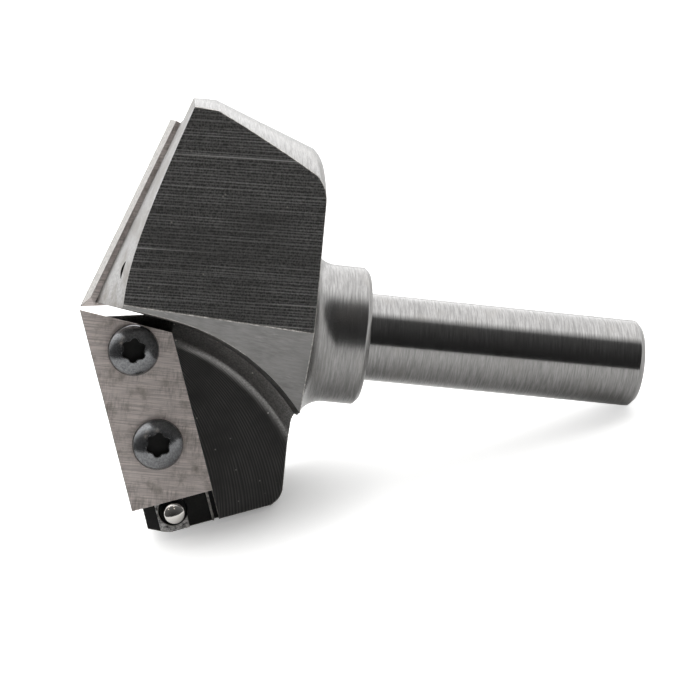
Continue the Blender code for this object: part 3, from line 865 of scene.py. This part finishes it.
def gullet_steel(settings, wing):
    """The gullet's floor and wall: dark steel, with the curved tracks of an end mill on its floor."""
    material, tree = new_material(f"milled steel gullet {wing}")
    place = bit_coordinates(tree, settings, wing)
    arcs = feed_marks(tree, place, settings, 0.45)
    fade = stretched_noise(tree, place, (5.0, 5.0, 4.0), 2.0)
    grain = stretched_noise(tree, place, (0.25, 0.25, 0.25), 3.0, 0.7)
    floor = -settings.milled.gullet_depth / MM
    height = add_node(tree, "SeparateXYZ", {"Vector": place})["Y"]
    rise = {"Value": height, "From Min": floor + 0.05, "From Max": floor + 0.25}
    on_floor = add_node(tree, "MapRange", {**rise, "To Min": 1.0, "To Max": 0.0})["Result"]
    patchy = {"Value": fade, "From Min": 0.3, "From Max": 0.6, "To Min": 0.2, "To Max": 1.0}
    shown = add_node(tree, "MapRange", patchy)["Result"]
    shown = add_node(tree, "Math", {0: shown, 1: on_floor}, operation="MULTIPLY")[0]
    arcs = add_node(tree, "Math", {0: arcs, 1: shown}, operation="MULTIPLY")[0]
    base = linear(settings.colours.gullet_steel)
    tracked = shades(tree, base, arcs, 0.0, 1.0, 0.75, 1.35)
    grainy = shades(tree, base, grain, 0.4, 0.7, 0.9, 2.2)
    shade = tinted(tree, tracked, grainy, on_floor, 0.0, 1.0, most=0.0, least=0.6)
    shade = chipped(tree, settings, place, shade, 2.2, 0.16, 0.35)
    metal_shader(tree, shade, 0.32, arcs, 0.001)
    return material


def shelf_steel(settings, wing):
    """The shelf's land round the pin: rubbed light and rough by chips."""
    material, tree = new_material(f"rubbed steel shelf {wing}")
    place = bit_coordinates(tree, settings, wing)
    rub = stretched_noise(tree, place, (0.5, 0.5, 0.8), 4.0, 0.75)
    shade = shades(tree, linear(settings.colours.milled_steel), rub, 0.38, 0.58, 0.4, 3.0)
    metal_shader(tree, shade, 0.45, rub, 0.01, metallic=0.6)
    return material


def carbide(settings, wing):
    """Ground sintered carbide: warm grey and satin, ground straight across the cutting edge."""
    material, tree = new_material(f"sintered carbide {wing}")
    place = bit_coordinates(tree, settings, wing)
    # The wheel's scratches are some 0.03 mm wide. They are drawn at 0.2 mm, to show.
    streaks = stretched_noise(tree, place, (0.2, 30.0, 7.0), 3.0, 0.7)
    mottle = stretched_noise(tree, place, (2.6, 3.0, 2.2), 5.0, 0.65)
    scuffs = stretched_noise(tree, place, (2.0, 30.0, 0.3), 3.0, 0.7)
    patch = stretched_noise(tree, place, (5.0, 9.0, 6.0), 2.0)
    stain = linear(settings.colours.carbide_stain)
    shade = shades(tree, linear(settings.colours.carbide), streaks, 0.36, 0.64, 0.92, 1.5)
    shade = tinted(tree, shade, stain, mottle, 0.5, 0.72, 0.8)
    fine = {"Value": scuffs, "From Min": 0.4, "From Max": 0.7}
    scuffed = add_node(tree, "MapRange", fine)["Result"]
    where = {"Value": patch, "From Min": 0.45, "From Max": 0.6, "To Min": 0.05, "To Max": 0.55}
    shown = add_node(tree, "MapRange", where)["Result"]
    seen = add_node(tree, "Math", {0: scuffed, 1: shown}, operation="MULTIPLY")[0]
    shade = tinted(tree, shade, times(stain, 0.5), seen, 0.0, 1.0)
    spread = {"Value": streaks, "From Min": 0.3, "From Max": 0.7, "To Min": 0.55, "To Max": 0.45}
    metal_shader(tree, shade, add_node(tree, "MapRange", spread)["Result"], streaks, 0.003, metallic=0.35)
    return material


def carbide_flank(settings, wing):
    """The flank behind the cutting edge: the same carbide, ground finer, so it mirrors the light."""
    material, tree = new_material(f"ground carbide flank {wing}")
    place = bit_coordinates(tree, settings, wing)
    streaks = stretched_noise(tree, place, (0.3, 0.3, 6.0), 3.0, 0.6)
    shade = shades(tree, linear(settings.colours.polished_steel), streaks, 0.36, 0.64, 0.4, 0.56)
    metal_shader(tree, shade, 0.28)
    return material


def black_oxide(settings):
    """Oiled black oxide on steel: a dark soft mirror, uneven with the oil."""
    material, tree = new_material("black oxide steel")
    place = bit_coordinates(tree, settings, 1)
    film = stretched_noise(tree, place, (0.3, 0.3, 0.3), 3.0, 0.7)
    shade = shades(tree, linear(settings.colours.black_oxide), film, 0.35, 0.65, 0.5, 0.95)
    spread = {"Value": film, "From Min": 0.3, "From Max": 0.7, "To Min": 0.2, "To Max": 0.25}
    metal_shader(tree, shade, add_node(tree, "MapRange", spread)["Result"], film, 0.0004)
    return material


def polished_steel(settings):
    """Polished hardened steel: a mirror with the faintest haze."""
    material, tree = new_material("polished steel")
    place = bit_coordinates(tree, settings, 1)
    haze = stretched_noise(tree, place, (0.5, 0.5, 0.5), 3.0)
    spread = {"Value": haze, "From Min": 0.3, "From Max": 0.7, "To Min": 0.05, "To Max": 0.11}
    rough = add_node(tree, "MapRange", spread)["Result"]
    metal_shader(tree, linear(settings.colours.polished_steel), rough)
    return material


def painted_shade_steel(settings):
    """Painted shade: black and dull, on the walls of the holes and the socket, the shelf's channel,
    groove and bevel, and the pin's foot.
    """
    material, tree = new_material("painted black shade")
    place = bit_coordinates(tree, settings, 1)
    grime = stretched_noise(tree, place, (0.3, 0.3, 0.3), 3.0)
    shade = shades(tree, linear(settings.colours.painted_shade_black), grime, 0.4, 0.6, 0.5, 1.5)
    metal_shader(tree, shade, 0.45, grime, 0.01, metallic=0.0)
    return material


def paper(settings):
    """Matt white paper: lit near to white, and glowing for the camera, less round the head's foot, which
    paints a patch of shadow there on top of the rendered shadow.
    """
    material, tree = new_material("matt paper")
    studio = settings.studio
    place = add_node(tree, "TexCoord")["Object"]
    fibres = add_node(tree, "TexNoise", {"Vector": place, "Scale": 400.0})["Fac"]
    shade = shades(tree, linear(settings.colours.floor), fibres, 0.3, 0.7, 0.98, 1.0)
    matt = add_node(tree, "BsdfPrincipled", {"Base Color": shade, "Roughness": 0.95})["BSDF"]
    # Less glow round the head's foot paints a patch of shadow there, over the rendered shadow.
    foot = (studio.shadow_x, studio.shadow_y, 0.0)
    from_foot = add_node(tree, "VectorMath", {0: place, 1: foot}, operation="DISTANCE")["Value"]
    spread = {"Value": from_foot, "From Min": studio.shadow_inner, "From Max": studio.shadow_outer}
    glows = {"To Min": studio.painted_shadow_glow, "To Max": studio.floor_glow}
    clear = add_node(tree, "MapRange", {**spread, **glows})["Result"]
    rays = add_node(tree, "LightPath")
    either = {0: rays["Is Glossy Ray"], 1: rays["Is Transmission Ray"]}
    seen = add_node(tree, "Math", either, operation="MAXIMUM")[0]
    mirrored = add_node(tree, "Math", {0: seen, 1: studio.mirrored_glow}, operation="MULTIPLY")[0]
    direct = {0: rays["Is Camera Ray"], 1: clear, 2: mirrored}
    glow = add_node(tree, "Math", direct, operation="MULTIPLY_ADD")[0]
    white = add_node(tree, "Emission", {"Color": (1.0, 1.0, 1.0, 1.0), "Strength": glow})["Emission"]
    both = add_node(tree, "AddShader", {0: matt, 1: white})["Shader"]
    add_node(tree, "OutputMaterial", {"Surface": both})
    return material


# Operators.


def shelf_and_seat(gullet, settings, black):
    """Widens the gullet tool by the shelf's channel, groove and bevel, and takes the seat out of it."""
    milled = settings.milled
    knife = settings.knife
    floor = -milled.gullet_depth
    top = floor + milled.overrun / 2
    channel = strip_outline(milled, knife, milled.channel_near, milled.channel_far)
    groove = strip_outline(milled, knife, milled.groove_near, milled.groove_far)
    strips = (
        slab("channel", channel, floor - milled.channel_depth, top),
        slab("groove", groove, floor - milled.groove_depth, top),
        shelf_bevel(settings),
    )
    # These strips take the black painted shade, for the shade that lies in these hollows.
    for strip in strips:
        give_finish(strip, black)
        combine(gullet, strip, "UNION")
    seat_top = -knife.thickness - milled.seat_gap
    combine(gullet, slab("seat", seat_outline(milled, knife), floor - milled.overrun, seat_top))


def shelf_bevel(settings):
    """A block tilted about the shelf's front line."""
    milled = settings.milled
    knife = settings.knife
    x, z = on_knife(knife, knife.length, milled.bevel_width)
    lean = knife.edge_angle
    slope = milled.bevel_slope
    inward = Vector((sin(lean), 0.0, -cos(lean)))
    forward = Vector((-cos(lean) * cos(slope), -sin(slope), -sin(lean) * cos(slope)))
    place = (x, -milled.gullet_depth, z)
    return block_beyond("shelf bevel", place, inward, forward, milled.bevel_reach)


def gullet_tool(settings, wing, material, black):
    """What the mills take out of one wing, as a solid."""
    milled = settings.milled
    floor = -milled.gullet_depth
    outline = gullet_outline(milled, settings.knife, settings.turned)
    gullet = slab("gullet", outline, floor, settings.turned.head_diameter / 2)

    def at_wall_foot(ends, faces):
        lies_low = all(abs(end.y - floor) < MM / 10 for end in ends)
        return lies_low and any(face.normal.x + face.normal.z > 0.5 for face in faces)

    round_edges(gullet, at_wall_foot, milled.foot_width, 1)
    round_edges(gullet, at_wall_foot, milled.foot_rounding, milled.foot_steps)
    give_finish(gullet, material)
    shelf_and_seat(gullet, settings, black)
    turn_piece(gullet, Matrix.Rotation(WING_TURNS[wing], 4, "Z"))
    return gullet


def saw_back_faces(body, settings, wing):
    """The back flat, and the facet that slopes from its inner edge as far as the rake plane."""
    milled = settings.milled
    reach = settings.turned.overall
    turn = Matrix.Rotation(WING_TURNS[wing], 4, "Z")
    place = (0.0, -milled.flat_height, 0.0)
    along = Vector((0.0, -milled.flat_rise, 1.0))
    across = Vector((-1.0, milled.flat_fall, 0.0))
    flat = block_beyond("back flat", place, along, across, reach)
    edge_x = -milled.facet_offset
    place = (edge_x, -milled.flat_height - milled.flat_fall * edge_x, 0.0)
    rise = milled.flat_rise - milled.flat_fall * milled.facet_drift
    along = Vector((-milled.facet_drift, -rise, 1.0))
    across = Vector((-1.0, -milled.facet_slope + milled.flat_fall, 0.0))
    facet = block_beyond("facet", place, along, across, reach)
    z_axis = Vector((0.0, 0.0, 1.0))
    x_axis = Vector((1.0, 0.0, 0.0))
    combine(facet, block_beyond("rake plane", (0.0, 0.0, 0.0), z_axis, x_axis, 2 * reach))
    for tool, finish in ((flat, milled_flat_steel), (facet, milled_facet_steel)):
        turn_piece(tool, turn)
        give_finish(tool, finish(settings, wing))
        combine(body, tool)


def hole_tools(settings):
    """The drills for one wing: two tapped holes, the run-outs of their threads, and the pin hole."""
    milled = settings.milled
    top = milled.overrun
    place = pin_place(settings.knife, settings.pin)
    tools = [drill("pin hole", place, milled.pin_hole_diameter, -milled.pin_hole_depth, top)]
    for place in screw_places(settings.knife):
        tools.append(drill("tapped hole", place, milled.tapped_diameter, -milled.tapped_depth, top))
        groove = (-milled.run_out_end, -milled.run_out_start)
        tools.append(drill("thread run-out", place, milled.run_out_diameter, *groove))
    return tools


def finish_shelf_strip(body, settings, wing, strip, finish):
    """Gives the shelf's level strip between two distances behind the cutting edge its finish."""
    near, far = strip
    knife = settings.knife
    back = Matrix.Rotation(-WING_TURNS[wing], 4, "Z")
    body.data.materials.append(finish)
    slot = len(body.data.materials) - 1
    lean = knife.edge_angle
    for face in body.data.polygons:
        centre = back @ face.center
        x = centre.x + knife.axis_clearance
        behind = x * cos(lean) + centre.z * sin(lean)
        along = centre.z * cos(lean) - x * sin(lean)
        level = abs(centre.y + settings.milled.gullet_depth) < MM / 50
        if level and along > knife.length - settings.milled.overrun and near < behind < far:
            face.material_index = slot


class ROUTERBIT_OT_body(bpy.types.Operator):
    """Turn the body, mill its flats, facets and gullets, and drill it"""

    bl_idname = "router_bit.body"
    bl_label = "Body"
    bl_options = {"REGISTER", "UNDO"}

    def execute(self, context):
        settings = context.scene.router_bit
        milled = settings.milled
        outline = body_outline(settings.turned, settings.knife)
        body = turn_on_lathe("Body", outline, settings.turned.steps)
        turn_piece(body, Matrix.Rotation(pi / settings.turned.steps, 4, "Z"))
        body.data.materials.append(ground_steel(settings))
        body.data.materials.append(cone_steel(settings))
        for face in body.data.polygons:
            if face.normal.z < CONE_FALL:
                face.material_index = 1
        # The black painted shade, for the holes and for the shelf's channel, groove and bevel.
        drilled = painted_shade_steel(settings)
        for wing in WING_TURNS:
            saw_back_faces(body, settings, wing)
        for wing in WING_TURNS:
            combine(body, gullet_tool(settings, wing, gullet_steel(settings, wing), drilled))
            for hole in hole_tools(settings):
                turn_piece(hole, Matrix.Rotation(WING_TURNS[wing], 4, "Z"))
                give_finish(hole, drilled)
                combine(body, hole)
            land = (milled.bevel_width, milled.channel_near)
            finish_shelf_strip(body, settings, wing, land, shelf_steel(settings, wing))
        worn_and_highlight_finish = worn_and_highlight_steel(settings)
        # The ridge between the channel and the groove takes the same bright steel, as a painted highlight
        # of the shelf's edge.
        for wing in WING_TURNS:
            highlight_ridge = (milled.channel_far, milled.groove_near)
            finish_shelf_strip(body, settings, wing, highlight_ridge, worn_and_highlight_finish)
        worn = list(body.data.materials).index(worn_and_highlight_finish)

        def outer_corner(ends, faces):
            """The front cone's slices are narrower than the rounding, so its edges stay sharp."""
            return is_outer_corner(ends, faces) and all(face.normal.z > CONE_FALL for face in faces)

        def is_turned(ends, faces):
            return outer_corner(ends, faces) and all(face.material_index == 0 for face in faces)

        def is_milled(ends, faces):
            return outer_corner(ends, faces) and any(face.material_index != 0 for face in faces)

        round_edges(body, is_milled, settings.turned.edge_break, 2, worn)
        round_edges(body, is_turned, settings.turned.edge_break, 2)
        smooth(body)
        turn_piece(body, rest_matrix(settings))
        hand_over(body, "body")
        return {"FINISHED"}


class ROUTERBIT_OT_knives(bpy.types.Operator):
    """Grind the two knives and drill their screw holes"""

    bl_idname = "router_bit.knives"
    bl_label = "Knives"
    bl_options = {"REGISTER", "UNDO"}

    def execute(self, context):
        settings = context.scene.router_bit
        knife = settings.knife
        for wing in WING_TURNS:
            blade = slab(f"Knife_{wing}", knife_outline(knife), -knife.thickness, 0.0)
            relief_width = knife.thickness * tan(knife.flank_relief)
            tip = at_depth(on_knife(knife, 0.0, 0.0), 0.0)
            outer = at_depth(on_knife(knife, knife.length, 0.0), 0.0)
            under_tip = at_depth(on_knife(knife, 0.0, relief_width), knife.thickness)
            give_finish(blade, carbide(settings, wing))
            flank = block_beyond("flank", tip, tip - outer, under_tip - tip, 2 * knife.length)
            give_finish(flank, carbide_flank(settings, wing))
            combine(blade, flank)
            front = at_depth(on_knife(knife, knife.tip_relief_length, relief_width), knife.thickness)
            behind = knife.tip_relief_width
            rear = at_depth(on_knife(knife, inner_end(knife, behind), behind), knife.thickness)
            combine(blade, block_beyond("tip relief", tip, rear - tip, front - tip, 2 * knife.length))
            for place in screw_places(knife):
                combine(blade, drill("knife hole", place, knife.hole_diameter, -knife.width, knife.width))
            break_edges(blade, knife.edge_break, segments=1)
            smooth(blade)
            turn_piece(blade, wing_matrix(settings, wing))
            hand_over(blade, f"knife_{wing}")
        return {"FINISHED"}


class ROUTERBIT_OT_screws(bpy.types.Operator):
    """Turn one knife screw, sink its socket, and fit a copy at each of the four places"""

    bl_idname = "router_bit.screws"
    bl_label = "Knife screws"
    bl_options = {"REGISTER", "UNDO"}

    def execute(self, context):
        settings = context.scene.router_bit
        screw = settings.screw
        seat_gap = settings.milled.seat_gap
        first = turn_on_lathe("Screw", screw_outline(screw, seat_gap), screw.steps)
        turn_piece(first, Matrix.Rotation(-pi / 2, 4, "X"))
        give_finish(first, black_oxide(settings))
        dome_edge = seat_gap + screw.rim

        def on_rim(ends, faces):
            return all(abs(end.y - dome_edge) < MM / 20 for end in ends)

        round_edges(first, on_rim, screw.rim_rounding, 5)
        top = seat_gap + screw.head_height
        socket = slab("socket", socket_outline(screw), top - screw.socket_depth, top + screw.socket_depth)
        # The socket takes the black painted shade, for the shade inside it.
        give_finish(socket, painted_shade_steel(settings))
        combine(first, socket)
        break_edges(first, screw.edge_break, segments=3)
        smooth(first)
        for wing in WING_TURNS:
            for letter, place in zip("ab", screw_places(settings.knife)):
                piece = copy_of(first, f"Screw_{wing}{letter}")
                turn_piece(piece, wing_matrix(settings, wing) @ Matrix.Translation(at_depth(place, 0.0)))
                hand_over(piece, f"knife_screw_{wing}{letter}")
        bpy.data.objects.remove(first)
        return {"FINISHED"}


class ROUTERBIT_OT_pins(bpy.types.Operator):
    """Turn a stop pin for each wing"""

    bl_idname = "router_bit.pins"
    bl_label = "Stop pins"
    bl_options = {"REGISTER", "UNDO"}

    def execute(self, context):
        settings = context.scene.router_bit
        place = at_depth(pin_place(settings.knife, settings.pin), 0.0)
        bright = polished_steel(settings)
        black = painted_shade_steel(settings)
        for wing in WING_TURNS:
            outline = pin_outline(settings.pin, settings.milled)
            piece = turn_on_lathe(f"Pin_{wing}", outline, settings.pin.steps)
            turn_piece(piece, Matrix.Translation(place) @ Matrix.Rotation(-pi / 2, 4, "X"))
            smooth(piece)
            piece.data.materials.append(bright)
            piece.data.materials.append(black)
            # Below the shade depth the pin takes the black painted shade, which hides its reflections
            # down in the hole.
            for face in piece.data.polygons:
                if face.center.y < -settings.pin.painted_shade_depth:
                    face.material_index = 1
            turn_piece(piece, wing_matrix(settings, wing))
            hand_over(piece, f"stop_pin_{wing}")
        return {"FINISHED"}


def add_lamp(name, place, size, power):
    """A soft square lamp that faces the middle of the bit."""
    facing = (SPOT_TARGET - place).to_track_quat("-Z", "Y")
    bpy.ops.object.light_add(type="AREA", location=place, rotation=facing.to_euler())
    lamp = bpy.context.object
    lamp.name = name
    lamp.data.size = size
    lamp.data.energy = power
    lamp.data.color = linear(SPOT_WARMTH)[:3]


def light_world(scene):
    """A large soft window behind and above, and a dim room in front of it."""
    world = bpy.data.worlds.new("studio")
    scene.world = world
    world.use_nodes = True
    tree = world.node_tree
    tree.nodes.clear()
    sides = {0: add_node(tree, "TexCoord")["Generated"], 1: WINDOW_SIDE}
    toward = add_node(tree, "VectorMath", sides, operation="DOT_PRODUCT")["Value"]
    dim = {"Value": toward, "From Min": -0.85, "From Max": 0.0, "To Min": ROOM_LOW, "To Max": ROOM_HIGH}
    room = add_node(tree, "MapRange", dim)["Result"]
    bright = {"Value": toward, "From Min": 0.03, "From Max": 0.36, "To Max": WINDOW_LIGHT}
    window = add_node(tree, "MapRange", bright)["Result"]
    light = add_node(tree, "Math", {0: room, 1: window}, operation="ADD")[0]
    white = add_node(tree, "Background", {"Color": (1.0, 1.0, 1.0, 1.0), "Strength": light})["Background"]
    add_node(tree, "OutputWorld", {"Surface": white})


class ROUTERBIT_OT_studio(bpy.types.Operator):
    """Lay the pale floor, hang the soft lamps and set up the camera"""

    bl_idname = "router_bit.studio"
    bl_label = "Studio"
    bl_options = {"REGISTER", "UNDO"}

    def execute(self, context):
        settings = context.scene.router_bit
        studio = settings.studio
        bpy.ops.object.select_all(action="DESELECT")
        bpy.ops.mesh.primitive_circle_add(vertices=96, radius=studio.floor_radius, fill_type="NGON")
        floor = bpy.context.object
        floor.name = "Floor"
        floor.data.materials.append(paper(settings))
        for number, (side, height) in enumerate(SPOTS):
            turn = radians(side)
            rise = radians(height)
            away = Vector((sin(turn) * cos(rise), -cos(turn) * cos(rise), sin(rise)))
            place = SPOT_TARGET + studio.spot_distance * away
            add_lamp(f"Spot {number + 1}", place, studio.spot_size, studio.spot_lamp)
        light_world(context.scene)
        context.scene.view_settings.view_transform = "Standard"
        place_camera(context.scene, settings)
        return {"FINISHED"}


def place_camera(scene, settings):
    studio = settings.studio
    rest = rest_matrix(settings)
    turn = rest.to_3x3()
    right = (turn @ Vector(studio.camera_right)).normalized()
    up = turn @ Vector(studio.camera_up)
    back = right.cross(up).normalized()
    up = back.cross(right)
    facing = Matrix((right, up, back)).transposed().to_4x4()
    bpy.ops.object.camera_add(location=rest @ Vector(studio.camera_place), rotation=facing.to_euler())
    camera = bpy.context.object
    camera.name = "Camera"
    camera.data.lens = studio.focal_length
    camera.data.sensor_width = 36.0
    camera.data.clip_start = 0.01
    scene.camera = camera


class ROUTERBIT_PT_panel(bpy.types.Panel):
    """Sizes, colours and building steps of the router bit"""

    bl_idname = "ROUTERBIT_PT_panel"
    bl_label = "V-groove router bit"
    bl_space_type = "VIEW_3D"
    bl_region_type = "UI"
    bl_category = "Router bit"

    def draw(self, context):
        settings = context.scene.router_bit
        for name in RouterBitSettings.__annotations__:
            group = getattr(settings, name)
            box = self.layout.box()
            box.label(text=name.capitalize())
            for field in type(group).__annotations__:
                box.prop(group, field)
        for operator in STEPS:
            self.layout.operator(operator.bl_idname)


STEPS = (
    ROUTERBIT_OT_studio,
    ROUTERBIT_OT_body,
    ROUTERBIT_OT_knives,
    ROUTERBIT_OT_screws,
    ROUTERBIT_OT_pins,
)
GROUPS = (
    TurnedSizes,
    MilledSizes,
    KnifeSizes,
    ScrewSizes,
    PinSizes,
    StudioSettings,
    Colours,
    RouterBitSettings,
)


def register():
    for item in (*GROUPS, *STEPS, ROUTERBIT_PT_panel):
        bpy.utils.register_class(item)
    bpy.types.Scene.router_bit = PointerProperty(type=RouterBitSettings)


def unregister():
    del bpy.types.Scene.router_bit
    for item in reversed((*GROUPS, *STEPS, ROUTERBIT_PT_panel)):
        bpy.utils.unregister_class(item)


def main():
    register()
    bpy.ops.router_bit.studio()
    bpy.ops.router_bit.body()
    bpy.ops.router_bit.knives()
    bpy.ops.router_bit.screws()
    bpy.ops.router_bit.pins()


if __name__ == "__main__":
    main()
